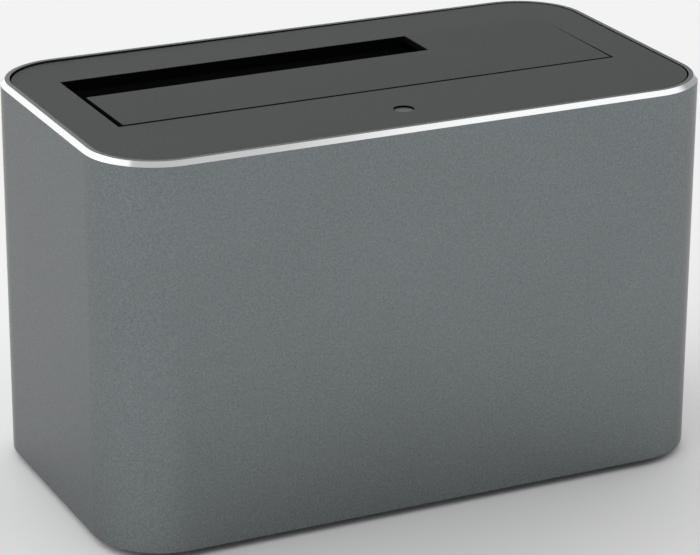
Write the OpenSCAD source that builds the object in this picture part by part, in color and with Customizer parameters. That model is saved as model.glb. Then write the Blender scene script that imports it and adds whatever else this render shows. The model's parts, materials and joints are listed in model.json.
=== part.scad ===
// Desktop docking station for one 2.5 or 3.5 inch drive:
// metal sleeve, sprung bay flap, drive well, board and ports.
// Millimetres. X runs left to right, Y front to back, Z up.
// The origin is on the table, under the middle of the body.

/* [Sleeve] */
// Distance from the side of the bay opening to the outside of the sleeve
side_band = 10.8; // [10:0.1:14]
// Outer depth of the sleeve, front to back
body_d = 69; // [67:1:90]
// Height of the sleeve from its lower to its upper edge
sleeve_h = 75.7; // [70:0.1:110]
// Radius of the four upright corners
corner_r = 14; // [8:0.1:16]
// Thickness of the sleeve wall
sleeve_wall = 2.6; // [2.3:0.1:2.9]
// Thickness left where the rims are cut back for the top plate and the base
rim_wall = 1.75; // [1.5:0.05:2]
// Width of the bright bevel round the upper edge
rim_bevel = 0.85; // [0.3:0.05:1.2]
// Height of the sleeve above the table
stand_h = 1.5; // [1:0.1:3]

/* [Top plate] */
// Thickness of the top plate
plate_t = 2.2; // [1.8:0.1:2.4]
// Depth of the top plate below the upper edge of the sleeve
plate_recess = 0.1; // [0:0.05:0.5]
// Gap round the top plate and round the base
plate_gap = 0.3; // [0.1:0.05:0.4]
// Diameter of the indicator hole
lens_d = 3.9; // [3.6:0.1:5]
// Depth of the indicator's lens below the top plate
lens_recess = 0.35; // [0.1:0.05:0.8]
// Distance of the indicator behind the front of the sleeve
lens_inset = 11.6; // [10.5:0.1:13]

/* [Drive bay] */
// Width of the bay opening
bay_w = 103.4; // [102.6:0.1:110]
// Depth of the bay opening, front to back
bay_d = 30.2; // [29.2:0.1:32]
// Distance from the rear wall of the bay to the back of the sleeve
rear_band = 15; // [14.5:0.1:18]
// Width of the open slot for the smaller drive
slot_w = 72.7; // [70.7:0.1:78]
// Depth of the open slot for the smaller drive
slot_d = 10.9; // [10:0.1:13]
// Thickness of the well's side walls
well_wall = 1.6; // [1.4:0.1:2]
// Thickness of the well's floor
floor_t = 1.8; // [1.5:0.1:2.4]

/* [Flap] */
// Thickness of the flap
flap_t = 1.2; // [1:0.1:1.5]
// Gap at the flap's left end
flap_left_gap = 1; // [0.5:0.1:1.5]
// Gap along the flap's front and right edges
flap_gap = 0.4; // [0.3:0.05:0.6]
// Gap along the flap's rear edge, where it swings past the plate
flap_rear_gap = 0.4; // [0.4:0.05:0.8]
// Height of the ribs under the flap
flap_rib_h = 1.2; // [0.6:0.1:1.4]
// Depth of the hinge axis below the top of the plate
hinge_drop = 4.8; // [4.6:0.1:5.2]
// Distance of the hinge axis in front of the bay opening
hinge_set = 2; // [1.9:0.1:2.4]
// Distance of each hinge from the middle
hinge_x = 36; // [24:1:40]
// Diameter of the hinge pins
pin_d = 1.5; // [1.2:0.1:1.6]
// Width of each hinge arm
arm_w = 6; // [4:0.5:8]
// Wire diameter of the flap springs
wire_d = 0.5; // [0.4:0.05:0.55]

/* [Drive connector] */
// Width of a 3.5 inch drive
drive_w = 101.6; // [101.2:0.1:101.6]
// Distance from a drive's side to the middle of its connector
plug_inset = 30.12; // [29.8:0.02:30.4]
// Distance from a drive's board side to the middle of its connector
plug_back = 3.5; // [3.3:0.1:3.7]
// Height of the connector above the floor of the well
plug_h = 6.2; // [5:0.1:8]

/* [Board and ports] */
// Room between the base and the board
under_room = 16.9; // [16.5:0.1:24]
// Thickness of the board
board_t = 1.6; // [1.2:0.1:2]
// Gap between the board and the floor of the well
board_gap = 1.6; // [1.5:0.1:3]
// Distance between neighbouring ports
port_pitch = 20; // [18:0.5:22]
// Width of the USB socket
usb_w = 12; // [11.6:0.1:12.4]
// Height of the USB socket
usb_h = 12; // [11.6:0.1:12.4]
// Length of the USB socket
usb_l = 17; // [15:0.5:18]
// Bore of the power inlet
dc_bore_d = 6.3; // [6:0.1:6.6]
// Diameter of the power inlet's centre pin
dc_pin_d = 2.1; // [1.9:0.1:2.5]
// Diameter of the power button
button_d = 7; // [6:0.5:8]
// Travel of the power button
button_travel = 2; // [1:0.1:2]
// Thickness of the rear panel
panel_t = 1.8; // [1.5:0.1:2.2]

/* [Base] */
// Thickness of the base
base_t = 2.2; // [2:0.1:3]
// Depth of the base inside the lower edge of the sleeve
base_recess = 0.4; // [0.2:0.1:0.8]
// Diameter of the rubber feet
foot_d = 10; // [8:0.5:12]
// Diameter of the long screws
screw_d = 2.6; // [2.2:0.1:3]

/* [Hidden] */
$fn = 64;

// Colours
anodised = [0.44, 0.46, 0.47];
dark_plastic = [0.12, 0.12, 0.125];
black_plastic = [0.05, 0.05, 0.055];
steel = [0.62, 0.63, 0.64];
gold = [0.8, 0.62, 0.25];
board_green = [0.05, 0.22, 0.13];
chip_black = [0.07, 0.07, 0.075];
clear_plastic = [0.78, 0.8, 0.82];
blue_plastic = [0.1, 0.28, 0.6];
rubber = [0.06, 0.06, 0.06];

// Clearances
cut = 1;
overlap = 0.5;
screw_clear = 0.05;
pin_clear = 0.05;
seat_clear = 0.02;
slip = 0.2;
free_gap = 0.3;

// Heights of the shell
sleeve_z0 = stand_h;
sleeve_z1 = sleeve_z0 + sleeve_h;
plate_z1 = sleeve_z1 - plate_recess;
plate_z0 = plate_z1 - plate_t;
base_z0 = sleeve_z0 + base_recess;
base_z1 = base_z0 + base_t;

// Outlines of the shell
body_w = bay_w + 2 * side_band;
half_w = body_w / 2;
half_d = body_d / 2;
inner_w = body_w - 2 * sleeve_wall;
inner_d = body_d - 2 * sleeve_wall;
inner_r = corner_r - sleeve_wall;
pocket_w = body_w - 2 * rim_wall;
pocket_d = body_d - 2 * rim_wall;
pocket_r = corner_r - rim_wall;
plate_w = pocket_w - 2 * plate_gap;
plate_d = pocket_d - 2 * plate_gap;
plate_r = pocket_r - plate_gap;

// Bay and well
bay_back = half_d - rear_band;
bay_front = bay_back - bay_d;
bay_left = -bay_w / 2;
bay_right = bay_w / 2;
well_set = 0.3;
well_front = bay_front - well_set;
well_back = bay_back + well_set;
well_front_out = well_front - well_wall;
well_back_out = well_back + well_wall;
well_side_out = bay_w / 2 + well_wall;

// Board
board_z0 = base_z1 + under_room;
board_z1 = board_z0 + board_t;
floor_z0 = board_z1 + board_gap;
floor_z1 = floor_z0 + floor_t;
port_z = board_z0 - usb_h / 2;

// Screw posts beside the well
post_room = inner_w / 2 - well_side_out;
post_r = post_room / 2 - free_gap;
post_x = well_side_out + post_room / 2;
post_inset = 4;
post_ys = [bay_front + post_inset, bay_back - post_inset];
post_rise = 12;
post_top = floor_z1 + post_rise;
boss_r = post_r - slip;
boss_h = 7;
boss_z0 = plate_z0 - boss_h;
ear_t = 2.2;
screw_r = screw_d / 2;
screw_ledge = 0.9;
screw_head_r = screw_r + screw_ledge;
screw_head_h = 1.1;
base_screw_l = 9;
plate_screw_l = 7;

// Hinge
hinge_y = bay_front - hinge_set;
hinge_z = plate_z1 - hinge_drop;
pin_r = pin_d / 2;
eye_r = 1.7;
arm_t = 2.4;
arm_neck = 2.5;
arm_neck_set = 0.2;
arm_back = hinge_set + flap_gap + arm_neck_set + arm_neck;
spring_l = 4.6;
station_w = arm_w + spring_l + 3 * free_gap;
station_x0 = hinge_x - station_w / 2;
station_x1 = hinge_x + station_w / 2;
arm_x1 = station_x1 - free_gap;
arm_x0 = arm_x1 - arm_w;
lug_t = 2.2;
lug_r = 1.9;
lug_drop = 8;
hinge_window_z = hinge_z - arm_back - 2 * free_gap;
stop_back = 1.4;

// Flap
flap_x0 = bay_left + flap_left_gap;
flap_x1 = bay_right - flap_gap;
flap_y0 = bay_front + flap_gap;
flap_y1 = bay_back - flap_rear_gap;
slot_x1 = bay_left + slot_w;
slot_y0 = bay_back - slot_d;
flap_z0 = plate_z1 - flap_t;
rib_t = 1.2;
rib_z0 = flap_z0 - flap_rib_h;
rib_inset = 1.5;

// Springs
wire_r = wire_d / 2;
coil_r = 1.25;
coil_turns = 4;
rings_per_turn = 12;
wire_sides = 6;
fixed_slope = 10;
moving_slope = 15;
fixed_leg = (plate_z0 - hinge_z - coil_r * cos(fixed_slope) - wire_r / cos(fixed_slope) - pin_clear)
    / sin(fixed_slope);
moving_leg = (flap_z0 - hinge_z - coil_r * cos(moving_slope) - wire_r / cos(moving_slope) - pin_clear)
    / sin(moving_slope);

// Indicator
lens_y = lens_inset - half_d;
lens_r = lens_d / 2;
pipe_r = lens_r - slip / 2;
rod_r = 1.5;
tube_wall = 1.3;
tube_l = 6;
tube_z0 = plate_z0 - tube_l;
collar_h = 1.6;
collar_ledge = 0.8;
collar_r = pipe_r + collar_ledge;
guide_rise = 16;
guide_z0 = floor_z1 + guide_rise;
guide_h = 3;
led_h = 1.9;
led_gap = 0.3;
led_w = 3.5;
led_d = 2.8;

// Drive connector
socket_w = 42.8;
socket_t = 5.6;
socket_x = plug_inset - drive_w / 2;
drive_clear = 0.5;
socket_y = bay_back - drive_clear - plug_back;
socket_z1 = floor_z1 + plug_h;
socket_flange_w = 46.4;
socket_flange_t = 7.2;
socket_flange_h = 1.4;
key_t = 1.7;
key_l = 1.3;
key_depth = 5.6;
power_pins = 15;
signal_pins = 7;
pin_pitch = 1.27;
power_w = 21.4;
signal_w = 10.9;
bridge_w = 2.4;
power_x0 = socket_x - (power_w + bridge_w + signal_w) / 2;
signal_x0 = power_x0 + power_w + bridge_w;
contact_w = 0.6;
contact_t = 0.3;

// Rear panel
panel_gap = 0.4;
panel_y1 = half_d - sleeve_wall - panel_gap;
panel_y0 = panel_y1 - panel_t;
window_margin = 7;
window_w = 2 * port_pitch + usb_w + 2 * window_margin;
window_room = 2.5;
window_h = usb_h + 2 * window_room;
window_r = 3;
lip_t = 1.2;
lip_y1 = half_d - panel_gap;
panel_side = 3;
panel_top = 2.5;
panel_w = window_w + 2 * panel_side;
panel_z1 = port_z + window_h / 2 + panel_top;
rail_t = 1.6;
rail_h = 3.4;

// Ports, from left to right: power inlet, USB socket, power button
dc_x = -port_pitch;
usb_x = 0;
button_x = port_pitch;
usb_proud = 0.3;
usb_front = panel_y1 + usb_proud;
usb_back = usb_front - usb_l;
usb_sheet = 0.4;
usb_mouth_w = 8.6;
usb_mouth_h = 7.6;
usb_mouth_bevel = 1.9;
usb_top_w = 6;
usb_top_h = 2.4;
usb_mouth_depth = 9;
usb_tongue_w = 5.4;
usb_tongue_h = 3;
usb_tongue_gap = 1;
usb_low = 0.3;
dc_w = 9;
dc_h = 11;
dc_l = 13;
dc_front = panel_y0 - slip;
dc_back = dc_front - dc_l;
dc_collar_wall = 0.7;
dc_collar_r = dc_bore_d / 2 + dc_collar_wall;
dc_proud = 0.2;
dc_collar_y1 = panel_y1 + dc_proud;
dc_bore_l = 11;
dc_bore_y0 = dc_collar_y1 - dc_bore_l;
dc_pin_r = dc_pin_d / 2;
dc_pin_low = 1;
dc_root_step = 0.4;
dc_root_r = dc_pin_r + dc_root_step;
leaf_w = 2;
leaf_t = 0.2;
switch_w = 8.5;
switch_l = 10;
button_r = button_d / 2;
button_proud = 2.4;
button_y1 = panel_y1 + button_proud;
button_l = 3.4;
button_y0 = button_y1 - button_l;
switch_front = button_y0 - button_travel - free_gap;
switch_back = switch_front - switch_l;
plunger_w = 2.8;
plunger_in = 5;

// Board outline
board_side = 3.7;
board_w = bay_w - 2 * board_side;
board_lead = 4.2;
board_y0 = lens_y - board_lead;
board_y1 = panel_y0 - panel_gap;
standoff_r = 2.4;
standoff_inset = 3;
standoff_x = board_w / 2 - standoff_inset;
standoff_lead = 3.5;
standoff_pitch = 14;
standoff_ys = [bay_front + standoff_lead, bay_front + standoff_lead + standoff_pitch];
board_screw_r = 1.2;
board_screw_in = 2.8;

// Parts under the board: middle in X and behind the front of the bay, then size
bridge_at = [-12, 12];
bridge_size = [9, 9, 1];
memory_at = [-26, 12];
crystal_at = [-12, 1.5];
crystal_size = [11, 4.5, 3.5];
regulator_side = 15;
regulator_x = board_w / 2 - regulator_side;
coil_step = 11;
coil_x = regulator_x - coil_step;
coil_size = [7, 7, 4];
supply_ys = [4, 16];
small_chip = [5, 4, 1.6];
capacitor_y = 4;
capacitor_r = 3.1;
capacitor_h = 7.6;
capacitor_pitch = 8;
capacitor_clear = 3.4;
capacitor_x = coil_x - coil_size[0] / 2 - capacitor_clear - capacitor_r;
capacitor_xs = [capacitor_x - capacitor_pitch, capacitor_x];
chip_part = [2, 1.25, 0.8];
chip_part_pitch = [8, 4];
chip_part_at = [-16, -8];
usb_lane = 1.25;

// Feet
foot_seat = 0.7;
foot_h = base_z0 + foot_seat;
foot_r = foot_d / 2;
foot_side = 17;
foot_lead = 13;
foot_x = half_w - foot_side;
foot_y = half_d - foot_lead;

module rounded_rect(w, d, r) {
    square([w - 2 * r, d], center = true);
    square([w, d - 2 * r], center = true);
    for (sx = [-1, 1], sy = [-1, 1])
        translate([sx * (w / 2 - r), sy * (d / 2 - r)])
            circle(r = r);
}

module slab(w, d, r, z0, z1) {
    translate([0, 0, z0])
        linear_extrude(z1 - z0)
            rounded_rect(w, d, r);
}

module box(lo, hi) {
    translate(lo)
        cube(hi - lo);
}

module rod_x(r, x0, x1, y, z) {
    translate([x0, y, z])
        rotate([0, 90, 0])
            cylinder(r = r, h = x1 - x0);
}

module rod_y(r, y0, y1, x, z) {
    translate([x, y0, z])
        rotate([-90, 0, 0])
            cylinder(r = r, h = y1 - y0);
}

module rod_z(r, z0, z1, x = 0, y = 0) {
    translate([x, y, z0])
        cylinder(r = r, h = z1 - z0);
}

// Extrudes an outline drawn in Y and Z along X
module along_x(x0, x1) {
    translate([x0, 0, 0])
        rotate([90, 0, 90])
            linear_extrude(x1 - x0)
                children();
}

// Extrudes an outline drawn in X and Z along Y
module along_y(y0, y1) {
    translate([0, y1, 0])
        rotate([90, 0, 0])
            linear_extrude(y1 - y0)
                children();
}

// Repeats a piece on the right and, mirrored, on the left
module both_sides() {
    children();
    mirror([1, 0, 0])
        children();
}

// Three-sided ring that takes a bevel off the upper outer edge of a rounded block
module edge_ring(w, d, r, bevel, z) {
    section = [[-bevel - cut, cut], [cut, -bevel - cut], [cut, cut]];
    straight_x = w / 2 - r;
    straight_y = d / 2 - r;
    for (turn = [0, 180])
        rotate([0, 0, turn]) {
            translate([-straight_x, d / 2, z])
                rotate([90, 0, 90])
                    linear_extrude(2 * straight_x)
                        polygon(section);
            translate([w / 2, straight_y, z])
                rotate([90, 0, 0])
                    linear_extrude(2 * straight_y)
                        polygon(section);
        }
    for (right = [0, 1], back = [0, 1])
        mirror([1 - right, 0, 0])
            mirror([0, 1 - back, 0])
                translate([straight_x, straight_y, z])
                    rotate_extrude(angle = 90)
                        translate([r, 0])
                            polygon(section);
}

module window_outline(shrink) {
    translate([0, port_z])
        rounded_rect(window_w - 2 * shrink, window_h - 2 * shrink, window_r - shrink);
}

module sleeve() {
    color(anodised)
        difference() {
            slab(body_w, body_d, corner_r, sleeve_z0, sleeve_z1);
            slab(inner_w, inner_d, inner_r, sleeve_z0 - cut, sleeve_z1 + cut);
            slab(pocket_w, pocket_d, pocket_r, plate_z0, sleeve_z1 + cut);
            slab(pocket_w, pocket_d, pocket_r, sleeve_z0 - cut, base_z1);
            edge_ring(body_w, body_d, corner_r, rim_bevel, sleeve_z1);
            along_y(half_d - sleeve_wall - cut, half_d + cut)
                window_outline(0);
        }
}

module top_plate() {
    color(dark_plastic)
        difference() {
            union() {
                slab(plate_w, plate_d, plate_r, plate_z0, plate_z1);
                rod_z(lens_r + tube_wall, tube_z0, plate_z0 + overlap, 0, lens_y);
                both_sides() {
                    for (y = post_ys)
                        rod_z(boss_r, boss_z0, plate_z0 + overlap, post_x, y);
                    box([arm_x0, hinge_y + stop_back, hinge_z + arm_t / 2],
                        [arm_x1, bay_front, plate_z0 + overlap]);
                }
            }
            box([bay_left, bay_front, plate_z0 - cut], [bay_right, bay_back, plate_z1 + cut]);
            rod_z(lens_r, tube_z0 - cut, plate_z1 + cut, 0, lens_y);
            both_sides()
                for (y = post_ys)
                    rod_z(screw_r + screw_clear, boss_z0 - cut, plate_z0 + overlap, post_x, y);
        }
}

module arm_outline() {
    translate([hinge_y, hinge_z]) {
        circle(r = eye_r);
        translate([0, -arm_t / 2])
            square([arm_back, arm_t]);
        translate([arm_back - arm_neck, -arm_t / 2])
            square([arm_neck, flap_z0 - hinge_z + arm_t / 2 + flap_t / 2]);
    }
}

module flap() {
    color(dark_plastic)
        difference() {
            union() {
                translate([0, 0, flap_z0])
                    linear_extrude(flap_t)
                        polygon([[flap_x0, flap_y0], [flap_x1, flap_y0], [flap_x1, flap_y1],
                            [slot_x1, flap_y1], [slot_x1, slot_y0], [flap_x0, slot_y0]]);
                box([flap_x0 + rib_inset, slot_y0 - rib_inset - rib_t, rib_z0],
                    [flap_x1 - rib_inset, slot_y0 - rib_inset, flap_z0 + flap_t / 2]);
                box([slot_x1 + rib_inset, flap_y1 - rib_inset - rib_t, rib_z0],
                    [flap_x1 - rib_inset, flap_y1 - rib_inset, flap_z0 + flap_t / 2]);
                both_sides() {
                    along_x(arm_x0, arm_x1)
                        arm_outline();
                    box([arm_x0, hinge_y + arm_back - overlap, rib_z0],
                        [arm_x0 + rib_t, slot_y0 - rib_inset, flap_z0 + flap_t / 2]);
                    box([arm_x1 - rib_t, hinge_y + arm_back - overlap, rib_z0],
                        [arm_x1, slot_y0 - rib_inset, flap_z0 + flap_t / 2]);
                }
            }
            both_sides()
                rod_x(pin_r + pin_clear, arm_x0 - cut, arm_x1 + cut, hinge_y, hinge_z);
        }
}

module hinge_pins() {
    color(steel)
        both_sides()
            rod_x(pin_r, station_x0 - lug_t, station_x1 + lug_t, hinge_y, hinge_z);
}

// Path of one spring: forward leg under the top plate, the coil, then the leg under the flap
coil_a0 = 90 - fixed_slope;
coil_sweep = 360 * coil_turns - fixed_slope - moving_slope;
coil_steps = coil_turns * rings_per_turn;
coil_len = spring_l - wire_d;
spring_path = concat(
    [[0, coil_r * cos(coil_a0) - fixed_leg * cos(fixed_slope),
        coil_r * sin(coil_a0) + fixed_leg * sin(fixed_slope)]],
    [for (i = [0:coil_steps])
        let(a = coil_a0 - coil_sweep * i / coil_steps)
        [coil_len * i / coil_steps, coil_r * cos(a), coil_r * sin(a)]],
    [[coil_len, -coil_r * sin(moving_slope) + moving_leg * cos(moving_slope),
        coil_r * cos(moving_slope) + moving_leg * sin(moving_slope)]]);

function unit(v) = v / norm(v);

function path_dir(p, i) = unit(p[min(i + 1, len(p) - 1)] - p[max(i - 1, 0)]);

// Wire of round section along a path, with one side of the section kept towards X
module wire(p) {
    n = len(p);
    points = [for (i = [0:n - 1])
        let(t = path_dir(p, i), u = unit([1, 0, 0] - t * t[0]), v = cross(t, u))
        for (k = [0:wire_sides - 1])
            p[i] + wire_r * (cos(360 * k / wire_sides) * u + sin(360 * k / wire_sides) * v)];
    sides = [for (i = [0:n - 2], k = [0:wire_sides - 1])
        let(a = i * wire_sides + k, b = i * wire_sides + (k + 1) % wire_sides)
        [a, a + wire_sides, b + wire_sides, b]];
    start = [for (k = [0:wire_sides - 1]) k];
    end = [for (k = [wire_sides - 1:-1:0]) (n - 1) * wire_sides + k];
    polyhedron(points = points, faces = concat(sides, [start, end]), convexity = 8);
}

module flap_springs() {
    color(steel)
        both_sides()
            translate([station_x0 + free_gap + wire_r, hinge_y, hinge_z])
                wire(spring_path);
}

module drive_well() {
    color(black_plastic)
        difference() {
            union() {
                box([-well_side_out, well_front_out, floor_z0], [well_side_out, well_back_out, plate_z0]);
                both_sides() {
                    for (y = post_ys) {
                        rod_z(post_r, base_z1, post_top, post_x, y);
                        box([well_side_out - overlap, y - well_wall / 2, floor_z0],
                            [post_x, y + well_wall / 2, post_top]);
                        rod_z(boss_r, boss_z0 - ear_t, boss_z0, post_x, y);
                        box([well_side_out - overlap, y - boss_r, boss_z0 - ear_t],
                            [post_x, y + boss_r, boss_z0]);
                    }
                    for (y = standoff_ys)
                        rod_z(standoff_r, board_z1, floor_z0 + overlap, standoff_x, y);
                    for (x = [station_x0 - lug_t, station_x1])
                        along_x(x, x + lug_t)
                            lug_outline();
                }
                rod_z(rod_r + tube_wall, guide_z0, guide_z0 + guide_h, 0, lens_y);
                box([-rod_r, lens_y, guide_z0], [rod_r, well_front_out + overlap, guide_z0 + guide_h]);
            }
            box([bay_left, well_front, floor_z1], [bay_right, well_back, plate_z0 + cut]);
            box([socket_x - socket_w / 2 - slip, socket_y - socket_t / 2 - slip, floor_z0 - cut],
                [socket_x + socket_w / 2 + slip, socket_y + socket_t / 2 + slip, floor_z1 + cut]);
            rod_z(rod_r + slip / 2, guide_z0 - cut, guide_z0 + guide_h + cut, 0, lens_y);
            both_sides() {
                box([station_x0, well_front_out - lug_r - cut, hinge_window_z],
                    [station_x1, well_front + cut, plate_z0 + cut]);
                rod_x(pin_r + seat_clear, station_x0 - lug_t - cut, station_x1 + lug_t + cut,
                    hinge_y, hinge_z);
                for (y = post_ys) {
                    rod_z(screw_r + screw_clear, base_z1 - cut, base_z1 + base_screw_l, post_x, y);
                    rod_z(screw_r + screw_clear, boss_z0 - ear_t - cut, boss_z0 + cut, post_x, y);
                }
                for (y = standoff_ys)
                    rod_z(board_screw_r + screw_clear, board_z1 - cut, board_z1 + board_screw_in + free_gap,
                        standoff_x, y);
            }
        }
}

module lug_outline() {
    translate([hinge_y, hinge_z]) {
        circle(r = lug_r);
        translate([-lug_r, -lug_drop])
            square([lug_r + well_front_out + overlap - hinge_y, lug_drop]);
    }
}

module light_pipe() {
    color(clear_plastic) {
        rod_z(rod_r, board_z1 + led_h + led_gap, tube_z0, 0, lens_y);
        rod_z(collar_r, guide_z0 + guide_h, guide_z0 + guide_h + collar_h, 0, lens_y);
        rod_z(collar_r, tube_z0 - collar_h, tube_z0, 0, lens_y);
        rod_z(pipe_r, tube_z0 - overlap, plate_z1 - lens_recess, 0, lens_y);
    }
}

module key_slot(x0, w) {
    z0 = socket_z1 - key_depth;
    box([x0, socket_y - key_t / 2, z0], [x0 + w, socket_y + key_t / 2, socket_z1 + cut]);
    box([x0, socket_y - key_t / 2 - key_l, z0], [x0 + key_l, socket_y, socket_z1 + cut]);
}

module drive_socket() {
    color(black_plastic)
        difference() {
            union() {
                box([socket_x - socket_w / 2, socket_y - socket_t / 2, board_z1],
                    [socket_x + socket_w / 2, socket_y + socket_t / 2, socket_z1]);
                box([socket_x - socket_flange_w / 2, socket_y - socket_flange_t / 2, board_z1],
                    [socket_x + socket_flange_w / 2, socket_y + socket_flange_t / 2,
                        board_z1 + socket_flange_h]);
            }
            key_slot(power_x0, power_w);
            key_slot(signal_x0, signal_w);
        }
}

module contact_row(x0, w, count) {
    first = x0 + (w - (count - 1) * pin_pitch) / 2;
    for (i = [0:count - 1])
        translate([first + i * pin_pitch - contact_w / 2, socket_y + key_t / 2 - contact_t,
            socket_z1 - key_depth])
            cube([contact_w, contact_t, key_depth - contact_w]);
}

module drive_contacts() {
    color(gold) {
        contact_row(power_x0, power_w, power_pins);
        contact_row(signal_x0, signal_w, signal_pins);
    }
}

module main_board() {
    color(board_green)
        difference() {
            box([-board_w / 2, board_y0, board_z0], [board_w / 2, board_y1, board_z1]);
            both_sides()
                for (y = standoff_ys)
                    rod_z(board_screw_r + slip, board_z0 - cut, board_z1 + cut, standoff_x, y);
        }
}

module status_led() {
    color(clear_plastic)
        box([-led_w / 2, lens_y - led_d / 2, board_z1], [led_w / 2, lens_y + led_d / 2, board_z1 + led_h]);
}

// Part under the board, given its middle and its size
module hung(at, size) {
    translate([at[0] - size[0] / 2, bay_front + at[1] - size[1] / 2, board_z0 - size[2]])
        cube(size);
}

module bridge_chip() {
    color(chip_black)
        hung(bridge_at, bridge_size);
}

module memory_chip() {
    color(chip_black)
        hung(memory_at, small_chip);
}

module crystal() {
    color(steel)
        hung(crystal_at, crystal_size);
}

module regulators() {
    color(chip_black)
        for (y = supply_ys)
            hung([regulator_x, y], small_chip);
}

module coils() {
    color(chip_black)
        for (y = supply_ys)
            hung([coil_x, y], coil_size);
}

module capacitors() {
    color(steel)
        for (x = capacitor_xs)
            rod_z(capacitor_r, board_z0 - capacitor_h, board_z0, x, bay_front + capacitor_y);
}

module small_parts() {
    color(chip_black)
        for (i = [0:4], j = [0:1])
            hung(chip_part_at + [i * chip_part_pitch[0], j * chip_part_pitch[1]], chip_part);
}

module usb_shell() {
    z0 = board_z0 - usb_h;
    color(steel)
        difference() {
            box([usb_x - usb_w / 2, usb_back, z0], [usb_x + usb_w / 2, usb_front, board_z0]);
            box([usb_x - usb_w / 2 + usb_sheet, usb_back + usb_sheet, z0 + usb_sheet],
                [usb_x + usb_w / 2 - usb_sheet, usb_front + cut, board_z0 - usb_sheet]);
        }
}

// Mouth of the USB socket: square with two bevelled corners, and a narrower step below it
module usb_mouth() {
    w = usb_mouth_w / 2;
    z1 = port_z + (usb_mouth_h + usb_top_h) / 2;
    z0 = z1 - usb_mouth_h;
    step = usb_top_w / 2;
    polygon([[-w, z1], [w, z1], [w, z0 + usb_mouth_bevel], [step, z0], [step, z0 - usb_top_h],
        [-step, z0 - usb_top_h], [-step, z0], [-w, z0 + usb_mouth_bevel]]);
}

usb_tongue_z = port_z + usb_top_h / 2;

module usb_insert() {
    z0 = board_z0 - usb_h;
    edge = usb_sheet + seat_clear;
    color(blue_plastic)
        translate([usb_x, 0, 0]) {
            difference() {
                box([-usb_w / 2 + edge, usb_back + edge, z0 + edge],
                    [usb_w / 2 - edge, usb_front - usb_low, board_z0 - edge]);
                along_y(usb_front - usb_low - usb_mouth_depth, usb_front + cut)
                    usb_mouth();
            }
            box([-usb_tongue_w / 2, usb_front - usb_low - usb_mouth_depth - overlap,
                    usb_tongue_z - usb_tongue_h / 2],
                [usb_tongue_w / 2, usb_front - usb_low - usb_tongue_gap, usb_tongue_z + usb_tongue_h / 2]);
        }
}

module usb_contacts() {
    y0 = usb_front - usb_low - usb_mouth_depth;
    y1 = usb_front - usb_low - 2 * usb_tongue_gap;
    color(gold)
        for (side = [-1, 1], lane = [-1, 1])
            translate([usb_x + lane * usb_lane - contact_w / 2,
                y0, usb_tongue_z + side * (usb_tongue_h / 2 + contact_t / 2) - contact_t / 2])
                cube([contact_w, y1 - y0, contact_t]);
}

module dc_jack() {
    color(black_plastic)
        difference() {
            union() {
                box([dc_x - dc_w / 2, dc_back, board_z0 - dc_h], [dc_x + dc_w / 2, dc_front, board_z0]);
                rod_y(dc_collar_r, dc_front - overlap, dc_collar_y1, dc_x, port_z);
            }
            rod_y(dc_bore_d / 2, dc_bore_y0, dc_collar_y1 + cut, dc_x, port_z);
            rod_y(dc_root_r + seat_clear, dc_back - cut, dc_front, dc_x, port_z);
        }
}

module dc_pin() {
    color(steel) {
        rod_y(dc_root_r, dc_back, dc_bore_y0, dc_x, port_z);
        rod_y(dc_pin_r, dc_bore_y0 - overlap, dc_collar_y1 - dc_pin_low, dc_x, port_z);
    }
}

module dc_spring() {
    z0 = port_z - sqrt(pow(dc_bore_d / 2, 2) - pow(leaf_w / 2, 2)) + seat_clear;
    color(steel)
        box([dc_x - leaf_w / 2, dc_bore_y0, z0], [dc_x + leaf_w / 2, dc_front, z0 + leaf_t]);
}

module switch_body() {
    guide = plunger_w / 2 + slip / 2;
    color(black_plastic)
        difference() {
            box([button_x - switch_w / 2, switch_back, port_z - switch_w / 2],
                [button_x + switch_w / 2, switch_front, board_z0]);
            box([button_x - guide, switch_front - plunger_in - button_travel - free_gap, port_z - guide],
                [button_x + guide, switch_front + cut, port_z + guide]);
        }
}

module switch_plunger() {
    color(black_plastic)
        box([button_x - plunger_w / 2, switch_front - plunger_in, port_z - plunger_w / 2],
            [button_x + plunger_w / 2, button_y0 + button_l / 2, port_z + plunger_w / 2]);
}

module button_cap() {
    socket = plunger_w / 2 + seat_clear;
    round_edge = 0.5;
    color(dark_plastic)
        difference() {
            union() {
                rod_y(button_r, button_y0, button_y1 - round_edge, button_x, port_z);
                translate([button_x, button_y1 - round_edge, port_z])
                    rotate([-90, 0, 0])
                        cylinder(r1 = button_r, r2 = button_r - round_edge, h = round_edge);
            }
            box([button_x - socket, button_y0 - cut, port_z - socket],
                [button_x + socket, button_y0 + button_l / 2 + seat_clear, port_z + socket]);
        }
}

module rear_panel() {
    color(black_plastic)
        difference() {
            union() {
                box([-panel_w / 2, panel_y0, base_z1], [panel_w / 2, panel_y1, panel_z1]);
                along_y(panel_y1 - overlap, lip_y1)
                    difference() {
                        window_outline(slip);
                        window_outline(slip + lip_t);
                    }
            }
            box([usb_x - usb_w / 2 - slip, panel_y0 - cut, board_z0 - usb_h - slip],
                [usb_x + usb_w / 2 + slip, panel_y1 + cut, board_z0 + slip]);
            rod_y(dc_collar_r + slip, panel_y0 - cut, panel_y1 + cut, dc_x, port_z);
            rod_y(button_r + free_gap, panel_y0 - cut, panel_y1 + cut, button_x, port_z);
        }
}

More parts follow.
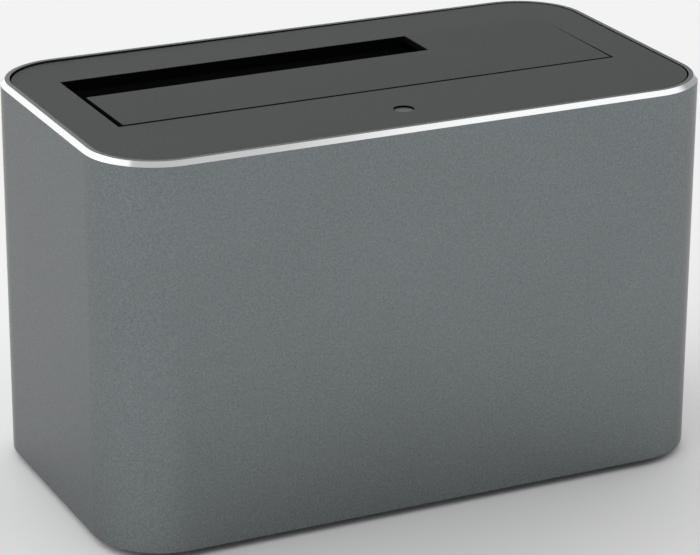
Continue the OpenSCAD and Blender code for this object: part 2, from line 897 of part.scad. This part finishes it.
module base_plate() {
    color(black_plastic)
        difference() {
            union() {
                slab(plate_w, plate_d, plate_r, base_z0, base_z1);
                box([-panel_w / 2, panel_y0 - slip - rail_t, base_z1 - overlap],
                    [panel_w / 2, panel_y0 - slip, base_z1 + rail_h]);
            }
            for (sx = [-1, 1], sy = [-1, 1])
                rod_z(foot_r + slip / 2, base_z0 - cut, base_z0 + foot_seat, sx * foot_x, sy * foot_y);
            both_sides()
                for (y = post_ys) {
                    rod_z(screw_r + slip, base_z0 - cut, base_z1 + cut, post_x, y);
                    rod_z(screw_head_r + free_gap, base_z0 - cut, base_z0 + screw_head_h + slip / 2,
                        post_x, y);
                }
        }
}

module foot(sx, sy) {
    soft_edge = 0.6;
    color(rubber)
        translate([sx * foot_x, sy * foot_y, 0]) {
            cylinder(r1 = foot_r - soft_edge, r2 = foot_r, h = soft_edge);
            rod_z(foot_r, soft_edge, foot_h);
        }
}

module foot_front_left() {
    foot(-1, -1);
}

module foot_front_right() {
    foot(1, -1);
}

module foot_rear_left() {
    foot(-1, 1);
}

module foot_rear_right() {
    foot(1, 1);
}

// Screw driven upwards, with its head seated at the given height and a cross cut in the head
module screw_up(x, y, seat, r, l) {
    slot = 0.6;
    slot_l = 2.6;
    slot_depth = 0.7;
    color(steel)
        translate([x, y, seat])
            difference() {
                union() {
                    rod_z(screw_head_r, -screw_head_h, 0);
                    rod_z(r, -overlap, l);
                }
                for (turn = [0, 90])
                    rotate([0, 0, turn])
                        translate([-slot_l / 2, -slot / 2, -screw_head_h - cut])
                            cube([slot_l, slot, slot_depth + cut]);
            }
}

module base_screws() {
    both_sides()
        for (y = post_ys)
            screw_up(post_x, y, base_z0 + screw_head_h + slip / 2, screw_r, base_screw_l);
}

module board_screws() {
    both_sides()
        for (y = standoff_ys)
            screw_up(standoff_x, y, board_z0, board_screw_r, board_t + board_screw_in);
}

module plate_screws() {
    both_sides()
        for (y = post_ys)
            screw_up(post_x, y, boss_z0 - ear_t, screw_r, plate_screw_l);
}

sleeve();
top_plate();
flap();
hinge_pins();
flap_springs();
drive_well();
light_pipe();
drive_socket();
drive_contacts();
main_board();
status_led();
bridge_chip();
memory_chip();
crystal();
regulators();
coils();
capacitors();
small_parts();
usb_shell();
usb_insert();
usb_contacts();
dc_jack();
dc_pin();
dc_spring();
switch_body();
switch_plunger();
button_cap();
rear_panel();
base_plate();
foot_front_left();
foot_front_right();
foot_rear_left();
foot_rear_right();
base_screws();
board_screws();
plate_screws();
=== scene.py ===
import json
import math

import bmesh
import bpy
from mathutils import Matrix, Vector


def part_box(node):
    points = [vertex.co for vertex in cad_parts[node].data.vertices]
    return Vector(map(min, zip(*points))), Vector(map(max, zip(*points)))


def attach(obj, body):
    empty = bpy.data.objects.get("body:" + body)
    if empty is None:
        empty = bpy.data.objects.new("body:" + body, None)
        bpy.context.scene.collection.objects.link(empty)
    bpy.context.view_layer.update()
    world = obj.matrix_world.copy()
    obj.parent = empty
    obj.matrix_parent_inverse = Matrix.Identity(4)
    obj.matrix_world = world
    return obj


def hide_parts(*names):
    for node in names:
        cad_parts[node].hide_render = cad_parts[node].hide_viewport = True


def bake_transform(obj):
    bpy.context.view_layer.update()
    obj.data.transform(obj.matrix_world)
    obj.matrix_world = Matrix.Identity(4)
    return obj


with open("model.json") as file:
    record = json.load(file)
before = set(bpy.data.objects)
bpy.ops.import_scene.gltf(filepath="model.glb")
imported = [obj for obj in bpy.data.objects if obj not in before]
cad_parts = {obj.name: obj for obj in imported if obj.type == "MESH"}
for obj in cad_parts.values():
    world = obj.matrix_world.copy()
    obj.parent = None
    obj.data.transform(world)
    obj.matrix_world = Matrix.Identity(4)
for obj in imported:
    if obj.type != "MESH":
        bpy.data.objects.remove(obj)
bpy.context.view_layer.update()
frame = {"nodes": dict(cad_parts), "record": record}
nodes = frame["nodes"]
MM = 0.001
joints = {joint["name"]: joint for joint in frame["record"]["behaviour"]["joints"]}
HINGE_Y, HINGE_Z = (length / MM for length in joints["flap_hinge"]["pos_m"][1:])


class Value:
    """A socket of a material. Operators on it add Math nodes."""

    def __init__(self, socket):
        self.socket = socket
        self.tree = socket.id_data

    def node(self, kind, inputs, out=0, **settings):
        """Adds a node of any type: its settings first, then the values or links of its sockets."""
        made = self.tree.nodes.new(kind)
        for key, setting in settings.items():
            setattr(made, key, setting)
        for key, given in inputs.items():
            if isinstance(given, Value):
                self.tree.links.new(given.socket, made.inputs[key])
            else:
                made.inputs[key].default_value = given
        return Value(made.outputs[out]) if made.outputs else None

    def math(self, operation, first, second=0.0):
        return self.node("ShaderNodeMath", {0: first, 1: second}, operation=operation)

    def __add__(self, other):
        return self.math("ADD", self, other)

    __radd__ = __add__

    def __sub__(self, other):
        return self.math("SUBTRACT", self, other)

    def __rsub__(self, other):
        return self.math("SUBTRACT", other, self)

    def __mul__(self, other):
        return self.math("MULTIPLY", self, other)

    __rmul__ = __mul__

    def __truediv__(self, other):
        return self.math("DIVIDE", self, other)

    def __rtruediv__(self, other):
        return self.math("DIVIDE", other, self)

    def above(self, edge):
        return self.math("GREATER_THAN", self, edge)

    def fraction(self):
        return self.math("FRACT", self)

    def step(self, low, high):
        """0 below low, 1 above high, and smooth between."""
        return self.node(
            "ShaderNodeMapRange",
            {"Value": self, "From Min": low, "From Max": high},
            interpolation_type="SMOOTHSTEP",
        )

    def between(self, colour_a, colour_b):
        """Mixes two colours, with this value as the share of the second."""
        a, b = (c if isinstance(c, Value) else (*c, 1.0) for c in (colour_a, colour_b))
        return self.node("ShaderNodeMix", {0: self, 6: a, 7: b}, out=2, data_type="RGBA")

    def stretched(self, x, y, z):
        return self.node("ShaderNodeMapping", {"Vector": self, "Scale": (x, y, z)})

    def noise(self, size, detail=2.0, rough=0.5):
        """Noise whose grains are about this many millimetres across."""
        inputs = {"Vector": self, "Scale": 1.0 / (size * MM), "Detail": detail, "Roughness": rough}
        return self.node("ShaderNodeTexNoise", inputs)

    def cells(self, size, out="Distance", **settings):
        inputs = {"Vector": self, "Scale": 1.0 / (size * MM)}
        return self.node("ShaderNodeTexVoronoi", inputs, out=out, **settings)

    def part(self, axis):
        """One coordinate of a vector, in millimetres."""
        return self.node("ShaderNodeSeparateXYZ", {0: self}, out=axis) * (1.0 / MM)

    def bump(self, strength, depth):
        """A Normal from this height; depth is in millimetres."""
        inputs = {"Height": self, "Strength": strength, "Distance": depth * MM}
        return self.node("ShaderNodeBump", inputs)


def finish(name, look):
    """A material; its look gives the inputs of its shader from Object coordinates."""
    made = bpy.data.materials.new(name)
    made.use_nodes = True
    tree = made.node_tree
    tree.nodes.clear()
    place = Value(tree.nodes.new("ShaderNodeTexCoord").outputs["Object"])
    shader = place.node("ShaderNodeBsdfPrincipled", look(place))
    place.node("ShaderNodeOutputMaterial", {"Surface": shader})
    return made


def anodised_look(place):
    grain = place.noise(0.42, 4.0, 0.75).step(0.28, 0.72)
    cloud = place.noise(26.0, 2.0)
    tone = grain * 0.8 + cloud * 0.2
    return {
        "Base Color": tone.between((0.142, 0.158, 0.162), (0.232, 0.257, 0.262)),
        "Metallic": 1.0,
        "Roughness": 0.24 + grain * 0.05,
        "Specular Tint": (0.735, 0.713, 0.713, 1.0),
        "Normal": grain.bump(0.12, 0.012),
    }


def bright_cut_look(place):
    lines = place.stretched(0.02, 0.02, 1.0).noise(0.05, 2.0)
    streaks = place.noise(6.0, 3.0)
    return {
        "Base Color": streaks.between((0.765, 0.768, 0.77), (0.825, 0.827, 0.828)),
        "Metallic": 1.0,
        "Roughness": 0.06 + lines * 0.06,
        "Normal": lines.bump(0.04, 0.004),
    }


def bezel_look(place):
    spark = place.noise(0.55, 4.0, 0.7).step(0.30, 0.70)
    cloud = place.noise(18.0, 2.0)
    tone = spark * 0.85 + cloud * 0.15
    return {
        "Base Color": tone.between((0.001, 0.0013, 0.0013), (0.029, 0.0302, 0.0302)),
        "Roughness": 0.50 + spark * 0.12,
        "Specular IOR Level": 0.375,
        "Specular Tint": (0.955, 1.0, 1.0, 1.0),
        "Normal": spark.bump(1.0, 0.04),
    }


def flap_look(place):
    look = bezel_look(place)
    look["Specular IOR Level"] = 0.336
    return look


# Painted shade: the plate's and flap's own black plastic, made darker and nearly unreflective for their
# upright faces so that they look shaded
def shade_painted_sides_look(place):
    spark = place.noise(0.4, 3.0, 0.6)
    return {
        "Base Color": spark.between((0.0012, 0.0012, 0.0013), (0.0030, 0.0030, 0.0032)),
        "Roughness": 0.72 + spark * 0.12,
        "Specular IOR Level": 0.04,
        "Normal": spark.bump(0.15, 0.03),
    }


def well_look(place):
    spark = place.noise(0.5, 3.0, 0.6)
    rubs = place.stretched(1.0, 1.0, 0.06).noise(2.2, 3.0).step(0.56, 0.75)
    tone = spark * 0.5 + rubs * 0.5
    return {
        "Base Color": tone.between((0.003, 0.003, 0.0032), (0.012, 0.012, 0.0125)),
        "Roughness": 0.78 - rubs * 0.20,
        "Specular IOR Level": 0.16,
        "Normal": spark.bump(0.2, 0.04),
    }


def moulded_look(place):
    spark = place.noise(0.38, 3.0, 0.6)
    cloud = place.noise(14.0, 2.0)
    tone = spark * 0.5 + cloud * 0.5
    return {
        "Base Color": tone.between((0.015, 0.015, 0.0155), (0.027, 0.027, 0.0275)),
        "Roughness": 0.50 + spark * 0.14,
        "Normal": spark.bump(0.22, 0.03),
    }


def socket_look(place):
    fibres = place.stretched(0.35, 1.0, 1.0).noise(0.25, 3.0)
    return {
        "Base Color": fibres.between((0.016, 0.016, 0.016), (0.034, 0.033, 0.032)),
        "Roughness": 0.40 + fibres * 0.15,
        "Normal": fibres.bump(0.12, 0.015),
    }


def steel_look(place):
    drawn = place.stretched(0.12, 1.0, 1.0).noise(0.16, 3.0)
    stain = place.noise(3.5, 3.0)
    return {
        "Base Color": stain.between((0.50, 0.505, 0.51), (0.63, 0.63, 0.63)),
        "Metallic": 1.0,
        "Roughness": 0.24 + drawn * 0.12 + stain * 0.08,
        "Normal": drawn.bump(0.08, 0.006),
    }


def screw_look(place):
    turned = place.noise(0.12, 2.0)
    stain = place.noise(1.6, 3.0)
    return {
        "Base Color": stain.between((0.055, 0.055, 0.06), (0.105, 0.104, 0.105)),
        "Metallic": 1.0,
        "Roughness": 0.30 + turned * 0.14,
        "Normal": turned.bump(0.08, 0.006),
    }


def gold_look(place):
    wiped = place.stretched(1.0, 1.0, 0.1).noise(0.25, 3.0)
    return {
        "Base Color": wiped.between((0.80, 0.55, 0.20), (0.95, 0.71, 0.34)),
        "Metallic": 1.0,
        "Roughness": 0.20 + wiped * 0.12,
    }


def board_look(place):
    lane = 0.7
    across, along = place.part("X"), place.part("Y")
    patch = place.cells(7.0, out="Color", distance="CHEBYCHEV")
    turned = patch.node("ShaderNodeSeparateColor", {0: patch}).above(0.5)
    lanes = (across / lane).fraction() * turned + (along / lane).fraction() * (1.0 - turned)
    trace = lanes.above(0.58)
    routed = patch.node("ShaderNodeSeparateColor", {0: patch}, out=1).above(0.42)
    copper = trace * routed
    weave = place.noise(0.35, 2.0)
    green = (copper * 0.8 + weave * 0.2).between((0.010, 0.062, 0.030), (0.026, 0.135, 0.062))
    return {
        "Base Color": green,
        "Roughness": 0.34 + weave * 0.10,
        "Coat Weight": 0.15,
        "Normal": (copper + weave * 0.15).bump(0.25, 0.03),
    }


def chip_look(place):
    fine = place.noise(0.12, 3.0, 0.65)
    return {
        "Base Color": fine.between((0.014, 0.014, 0.0145), (0.034, 0.034, 0.035)),
        "Roughness": 0.52 + fine * 0.14,
        "Normal": fine.bump(0.2, 0.01),
    }


def ferrite_look(place):
    fine = place.noise(0.25, 3.0, 0.65)
    return {
        "Base Color": fine.between((0.035, 0.035, 0.037), (0.075, 0.074, 0.074)),
        "Roughness": 0.58 + fine * 0.16,
        "Normal": fine.bump(0.3, 0.02),
    }


def can_look(place):
    brushed = place.stretched(1.0, 1.0, 0.05).noise(0.2, 3.0)
    return {
        "Base Color": brushed.between((0.56, 0.565, 0.57), (0.70, 0.70, 0.70)),
        "Metallic": 1.0,
        "Roughness": 0.28 + brushed * 0.12,
        "Normal": brushed.bump(0.06, 0.006),
    }


def lens_look(place):
    haze = place.noise(0.5, 3.0)
    return {
        "Base Color": haze.between((0.046, 0.052, 0.056), (0.068, 0.076, 0.081)),
        "Roughness": 0.34 + haze * 0.12,
        "Specular IOR Level": 0.35,
        "Normal": haze.bump(0.06, 0.01),
    }


def blue_look(place):
    flow = place.stretched(1.0, 0.25, 1.0).noise(0.9, 3.0)
    return {
        "Base Color": flow.between((0.022, 0.105, 0.44), (0.040, 0.150, 0.56)),
        "Roughness": 0.36 + flow * 0.12,
        "Normal": flow.bump(0.08, 0.02),
    }


def rubber_look(place):
    matt = place.noise(0.30, 4.0, 0.65)
    scuff = place.noise(2.6, 3.0).step(0.55, 0.78)
    tone = matt * 0.35 + scuff * 0.5
    return {
        "Base Color": tone.between((0.014, 0.014, 0.014), (0.046, 0.045, 0.044)),
        "Roughness": 0.72 + matt * 0.14,
        "Normal": matt.bump(0.3, 0.03),
    }


ANODISED = finish("anodised_grey", anodised_look)
BRIGHT_CUT = finish("bright_cut_bevel", bright_cut_look)
BEZEL = finish("satin_black_bezel", bezel_look)
FLAP_FACE = finish("satin_black_flap", flap_look)
# The next finish is painted shade for the upright faces of the plate and flap
SHADE_PAINTED_SIDES = finish("shade_painted_black_sides", shade_painted_sides_look)
WELL = finish("deep_black_well", well_look)
MOULDED = finish("moulded_black", moulded_look)
SOCKET = finish("filled_socket_plastic", socket_look)
STEEL = finish("drawn_steel", steel_look)
SCREW = finish("dark_screw_steel", screw_look)
GOLD = finish("gold_contact", gold_look)
BOARD = finish("green_board", board_look)
CHIP = finish("chip_epoxy_black", chip_look)
FERRITE = finish("coil_ferrite", ferrite_look)
CAN = finish("capacitor_can_metal", can_look)
LENS = finish("hazy_lens", lens_look)
BLUE = finish("blue_insert", blue_look)
RUBBER = finish("foot_rubber", rubber_look)

FINISHES = {
    WELL: ["drive_well"],
    MOULDED: ["dc_jack", "switch_body", "switch_plunger"],
    SOCKET: ["drive_socket"],
    STEEL: ["hinge_pins", "usb_shell", "crystal", "dc_pin", "dc_spring"],
    SCREW: ["base_screws", "board_screws", "plate_screws"],
    GOLD: ["drive_contacts", "usb_contacts"],
    BOARD: ["main_board"],
    CHIP: ["bridge_chip", "memory_chip", "regulators", "small_parts"],
    FERRITE: ["coils"],
    CAN: ["capacitors"],
    LENS: ["status_led"],
    BLUE: ["usb_insert"],
    RUBBER: ["foot_front_left", "foot_front_right", "foot_rear_left", "foot_rear_right"],
}
for material, members in FINISHES.items():
    for member in members:
        slots = nodes[member].data.materials
        slots.clear()
        slots.append(material)

# Edges and faces are found by angle, and by place to within a touch in millimetres
SHARP = math.radians(25)
FLAT = math.radians(0.2)
UPRIGHT = 0.5
SAME_POINT = 1e-6
TOUCH = 0.01
Y, Z = 1, 2


def piece(name, work, materials, body, replaced, twist=None):
    """A finished object from a bmesh, standing for the nodes that it replaces and riding on a body when
    twist is not given.

    twist names a second body and two points, but only whether it is given is read: a piece with it rides
    on no body and is left where it stands.
    """
    for face in work.faces:
        face.smooth = True
    for edge in work.edges:
        edge.smooth = not (edge.is_manifold and edge.calc_face_angle(0.0) > SHARP)
    mesh = bpy.data.meshes.new(name)
    work.to_mesh(mesh)
    work.free()
    for material in materials:
        mesh.materials.append(material)
    made = bpy.data.objects.new(name, mesh)
    bpy.context.scene.collection.objects.link(made)
    flat = made.modifiers.new("flat_faces", "WEIGHTED_NORMAL")
    flat.keep_sharp = True
    flat.weight = 100
    if twist:
        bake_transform(made)
    else:
        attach(made, body)
    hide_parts(*replaced)


def merged_copy(node):
    """A CAD piece's faces as one joined skin, with flat faces whole."""
    work = bmesh.new()
    work.from_mesh(nodes[node].data)
    bmesh.ops.remove_doubles(work, verts=work.verts[:], dist=SAME_POINT)
    bmesh.ops.dissolve_limit(work, angle_limit=FLAT, verts=work.verts[:], edges=work.edges[:])
    return work


def soften(work, radius, chosen):
    """Rounds the sharp edges that chosen accepts."""
    sharp = [
        e for e in work.edges
        if e.is_manifold and e.calc_face_angle(0.0) > SHARP and chosen(e)
    ]
    bmesh.ops.bevel(
        work, geom=sharp, offset=radius * MM, offset_type="OFFSET", segments=2,
        profile=0.5, affect="EDGES", material=-1, clamp_overlap=True,
    )


def within(edge, axis, low, high):
    return all(low <= v.co[axis] / MM <= high for v in edge.verts)


def at(edge, axis, place, reach=TOUCH):
    return within(edge, axis, place - reach, place + reach)


def paint_shade_on_sides(work):
    """Gives the upright faces the second finish, a darker and nearly unreflective copy of the same
    plastic that paints shade on them.
    """
    for face in work.faces:
        face.material_index = 1 if abs(face.normal.z) < UPRIGHT else 0


# Sleeve with its bright-cut bevel as a finish of its own; its foot and its rear cut-out are rounded
SLEEVE_ROUND = 0.2
FOOT_REACH = 0.1
CUT_OUT_LOW, CUT_OUT_HIGH = 1, 40
BEVEL_NORMAL_Z = (0.6, 0.8)
sleeve_low, sleeve_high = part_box("sleeve")
work = merged_copy("sleeve")
for face in work.faces:
    bevelled = BEVEL_NORMAL_Z[0] < face.normal.z < BEVEL_NORMAL_Z[1]
    face.material_index = 1 if bevelled else 0
foot_z = sleeve_low.z / MM
back_y = sleeve_high.y / MM
soften(work, SLEEVE_ROUND, lambda e: at(e, Z, foot_z, FOOT_REACH) or (
    at(e, Y, back_y) and within(e, Z, foot_z + CUT_OUT_LOW, foot_z + CUT_OUT_HIGH)))
piece("sleeve_body", work, [ANODISED, BRIGHT_CUT], "case", ["sleeve"])

# Top plate and flap with slightly rounded edges. The plate sits a hair low at its left end,
# and the springs leave the flap's right rear corner a hair above it.
PLATE_ROUND = 0.10
FLAP_ROUND = 0.12
PLATE_SET = (-0.27, 0.05)
FLAP_FRONT_SET = (-0.12, 0.02)
FLAP_REAR_SET = (-0.37, 0.36)
TOP_SKIN = 0.3
plate_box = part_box("top_plate")
flap_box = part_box("flap")
plate_top = plate_box[1].z / MM


def set_top(work, box, front, rear):
    """Raises a piece's top by these heights at the left and right ends of a box, in millimetres."""
    low, high = box
    top = max(corner.co.z for corner in work.verts)
    for corner in work.verts:
        if corner.co.z > top - TOP_SKIN * MM:
            across = (corner.co.x - low.x) / (high.x - low.x)
            inward = (corner.co.y - low.y) / (high.y - low.y)
            near = front[0] + (front[1] - front[0]) * across
            far = rear[0] + (rear[1] - rear[0]) * across
            corner.co.z += (near + (far - near) * inward) * MM


work = merged_copy("top_plate")
soften(work, PLATE_ROUND, lambda e: at(e, Z, plate_top))
# The plate's upright faces get painted shade
paint_shade_on_sides(work)
set_top(work, plate_box, PLATE_SET, PLATE_SET)
piece("bezel_plate", work, [BEZEL, SHADE_PAINTED_SIDES], "case", ["top_plate"])

work = merged_copy("flap")
soften(work, FLAP_ROUND, lambda e: at(e, Z, plate_top))
# The flap's upright faces get painted shade
paint_shade_on_sides(work)
set_top(work, flap_box, FLAP_FRONT_SET, FLAP_REAR_SET)
piece("flap_panel", work, [FLAP_FACE, SHADE_PAINTED_SIDES], "bay_flap", ["flap"])

work = merged_copy("light_pipe")
set_top(work, plate_box, PLATE_SET, PLATE_SET)
piece("lens_rod", work, [LENS], "case", ["light_pipe"])

# Rear panel, base and button
PANEL_ROUND = 0.15
BASE_ROUND = 0.2
BUTTON_ROUND = 0.2
BUTTON_FACE_DEPTH = 0.6
panel_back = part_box("rear_panel")[1].y / MM
work = merged_copy("rear_panel")
soften(work, PANEL_ROUND, lambda e: at(e, Y, panel_back))
piece("port_panel", work, [MOULDED], "case", ["rear_panel"])

base_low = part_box("base_plate")[0].z / MM
work = merged_copy("base_plate")
soften(work, BASE_ROUND, lambda e: at(e, Z, base_low))
piece("base_tray", work, [MOULDED], "case", ["base_plate"])

button_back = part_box("button_cap")[1].y / MM
work = merged_copy("button_cap")
soften(work, BUTTON_ROUND, lambda e: within(e, Y, button_back - BUTTON_FACE_DEPTH, button_back + TOUCH))
piece("button_face", work, [BEZEL], "power_button", ["button_cap"])

# Torsion springs, wound round the hinge pins, with one leg under the plate and one under the flap
WIRE_R = 0.25
WIRE_SIDES = 12
COIL_R = 1.25
COIL_TURNS = 4
TURN_STEPS = 28
COIL_LENGTH = 4.1
COIL_START = 30.8
FIXED_SLOPE = math.radians(10)
MOVING_SLOPE = math.radians(15)
FIXED_LEG = 6.134
MOVING_LEG = 8.051
END_REACH = 1.2 * WIRE_R


def wound_spring(side):
    """One spring as a bent wire; side is 1 on the right and -1 on the left."""
    axle = Vector((COIL_START, HINGE_Y, HINGE_Z))
    start = math.radians(90) - FIXED_SLOPE
    wire_centre = axle + COIL_R * Vector((0, math.cos(start), math.sin(start)))
    onward = Vector((0, math.cos(FIXED_SLOPE), -math.sin(FIXED_SLOPE)))
    under_flap = Vector((0, math.cos(MOVING_SLOPE), math.sin(MOVING_SLOPE)))
    facing = onward.to_track_quat("Z", "X").to_matrix()

    work = bmesh.new()
    ring = bmesh.ops.create_circle(work, cap_ends=False, radius=WIRE_R * MM, segments=WIRE_SIDES)["verts"]
    bmesh.ops.rotate(work, verts=ring, cent=(0, 0, 0), matrix=facing)
    bmesh.ops.translate(work, verts=ring, vec=wire_centre * MM)
    steps = COIL_TURNS * TURN_STEPS
    bmesh.ops.spin(
        work, geom=work.verts[:] + work.edges[:], cent=axle * MM, axis=(-1, 0, 0),
        dvec=(COIL_LENGTH * MM / steps, 0, 0), steps=steps, use_duplicate=False,
        angle=math.radians(360 * COIL_TURNS) - FIXED_SLOPE - MOVING_SLOPE,
    )
    legs = (
        (COIL_START, -onward * FIXED_LEG),
        (COIL_START + COIL_LENGTH, under_flap * MOVING_LEG),
    )
    for x, leg in legs:
        rim = [
            e for e in work.edges
            if e.is_boundary and all(abs(v.co.x / MM - x) < END_REACH for v in e.verts)
        ]
        pulled = bmesh.ops.extrude_edge_only(work, edges=rim)["geom"]
        tip = [g for g in pulled if isinstance(g, bmesh.types.BMVert)]
        bmesh.ops.translate(work, verts=tip, vec=leg * MM)
        end = [g for g in pulled if isinstance(g, bmesh.types.BMEdge) and g.is_boundary]
        bmesh.ops.edgeloop_fill(work, edges=end)
    bmesh.ops.scale(work, verts=work.verts[:], vec=(side, 1, 1))
    bmesh.ops.recalc_face_normals(work, faces=work.faces[:])

    # The operators list new faces in an order that changes from run to run, so they are sorted
    work.verts.index_update()
    in_order = sorted(work.faces, key=lambda f: sorted(v.index for v in f.verts))
    for index, face in enumerate(in_order):
        face.index = index
    work.faces.sort()
    return work


for name, side in (("spring_right", 1), ("spring_left", -1)):
    first_turn = Vector((side * (COIL_START + WIRE_R), HINGE_Y, HINGE_Z)) * MM
    last_turn = Vector((side * (COIL_START + COIL_LENGTH - WIRE_R), HINGE_Y, HINGE_Z)) * MM
    piece(name, wound_spring(side), [STEEL], "case", ["flap_springs"],
          twist=("bay_flap", first_turn, last_turn))

# Camera at the photograph's place, with its turns in degrees
CAMERA_PLACE = (-0.245613, -0.511849, 0.250997)
CAMERA_AZIMUTH = -25.64497
CAMERA_ELEVATION = 20.76680
CAMERA_ROLL = 0.28229
camera = bpy.data.cameras.new("camera")
camera.sensor_width = 36.0
camera.lens = 159.469
camera.clip_start = 0.01
camera.clip_end = 100.0
view = bpy.data.objects.new("camera", camera)
bpy.context.scene.collection.objects.link(view)
azimuth, elevation, roll = (math.radians(a) for a in (CAMERA_AZIMUTH, CAMERA_ELEVATION, CAMERA_ROLL))
level = math.cos(elevation)
back = Vector((math.sin(azimuth) * level, -math.cos(azimuth) * level, math.sin(elevation)))
right = Vector((math.cos(azimuth), math.sin(azimuth), 0.0))
up = back.cross(right)
across = right * math.cos(roll) + up * math.sin(roll)
upward = up * math.cos(roll) - right * math.sin(roll)
turn = Matrix((across, upward, back)).transposed().to_4x4()
view.matrix_world = Matrix.Translation(CAMERA_PLACE) @ turn
bpy.context.scene.camera = view

# Pale floor
FLOOR_HALF = 6.0
FLOOR_CELLS = 8
work = bmesh.new()
bmesh.ops.create_grid(work, x_segments=FLOOR_CELLS, y_segments=FLOOR_CELLS, size=FLOOR_HALF)
floor_mesh = bpy.data.meshes.new("floor")
work.to_mesh(floor_mesh)
work.free()
floor = bpy.data.objects.new("floor", floor_mesh)
bpy.context.scene.collection.objects.link(floor)


def floor_look(place):
    return {
        "Base Color": place.noise(400.0, 2.0).between((0.925, 0.925, 0.925), (0.935, 0.935, 0.935)),
        "Roughness": 0.9,
        "Specular IOR Level": 0.0,
    }


floor_mesh.materials.append(finish("pale_floor", floor_look))

# Soft light tent: bright walls that fall off to the right and at the front, a dimmer ceiling
# and a brighter upper rear. Each edge gives the part of a unit direction where it starts and ends.
WALLS = 1.2
CEILING = 0.64
CEILING_EDGE = (0.862, 0.884)
CEILING_SLANT = 0.04
RIGHT_SHADE = 0.62
RIGHT_EDGE = (-0.1, 0.75)
RIGHT_TOP_EDGE = (0.45, 0.65)
FRONT_SHADE = 0.75
FRONT_EDGE = (0.36, 0.8)
REAR_GAIN = 0.5
REAR_EDGE = (0.1, 0.5)
REAR_LOW_EDGE = (0.45, 0.62)
world = bpy.data.worlds.new("light_tent")
bpy.context.scene.world = world
world.use_nodes = True
world.node_tree.nodes.clear()
outward = Value(world.node_tree.nodes.new("ShaderNodeTexCoord").outputs["Generated"])
sideways, depth, height = (
    outward.node("ShaderNodeSeparateXYZ", {0: outward}, out=axis) for axis in range(3))
ceiling = (height + sideways * CEILING_SLANT).step(*CEILING_EDGE)
right_wall = sideways.step(*RIGHT_EDGE) * (1.0 - height.step(*RIGHT_TOP_EDGE))
front_wall = (0.0 - depth).step(*FRONT_EDGE)
upper_rear = depth.step(*REAR_EDGE) * height.step(*REAR_LOW_EDGE)
light = WALLS - ceiling * (WALLS - CEILING)
light = light * (1.0 - right_wall * RIGHT_SHADE)
light = light * (1.0 - front_wall * FRONT_SHADE)
light = light * (1.0 + upper_rear * REAR_GAIN)
sky = outward.node("ShaderNodeBackground", {"Color": (1.0, 1.0, 1.0, 1.0), "Strength": light})
outward.node("ShaderNodeOutputWorld", {"Surface": sky})

bpy.context.scene.view_settings.view_transform = "Standard"
